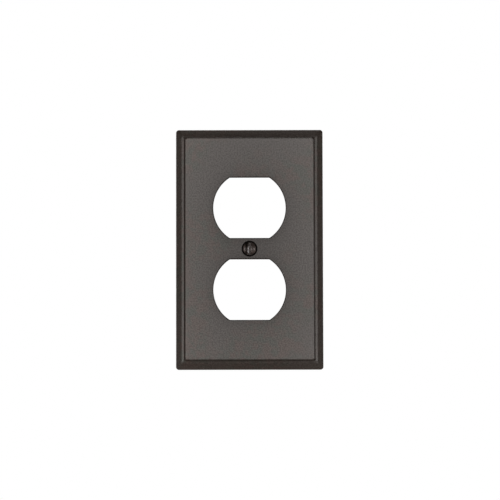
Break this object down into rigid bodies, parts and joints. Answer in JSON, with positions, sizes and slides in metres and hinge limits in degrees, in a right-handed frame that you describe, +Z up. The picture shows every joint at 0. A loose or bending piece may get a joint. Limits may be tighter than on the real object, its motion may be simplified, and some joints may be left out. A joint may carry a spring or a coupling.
{
  "type": "wall plate cover",
  "caption": "Stamped steel wall plate with a stepped border and openings for a duplex receptacle, held by a slotted oval head screw; covers an outlet box.",
  "frame": {"origin": "on the mounting screw's axis, in the plane of the wall, where the plate's back rim rests", "axes": "+Z up along the plate's long side, +X to the right of a person facing the plate, -Y out of the wall towards that person, +Y into the wall"},
  "size_m": [0.0698, 0.0138, 0.1142],
  "materials": {
    "bronze_paint": "satin dark bronze paint with a fine texture",
    "screw_finish": "satin dark bronze paint on the head, zinc plating on the shank",
    "nylon": "matte natural nylon"
  },
  "bodies": {
    "plate": {"cover_plate": "bronze_paint"},
    "washer": {"retaining_washer": "nylon"},
    "screw": {"mounting_screw": "screw_finish"}
  },
  "joints": [
    {"name": "screw_travel", "type": "slide", "parent": "plate", "child": "washer", "axis": [0, -1, 0], "range_m": [-0.00048, 0.00159]},
    {"name": "screw_turn", "type": "hinge", "parent": "washer", "child": "screw", "pos_m": [0, 0, 0], "axis": [0, -1, 0], "range_deg": [-216, 720]}
  ],
  "couplings": [
    {"joint": "screw_turn", "follows": "screw_travel", "rad_per_m": 7915.8}
  ]
}
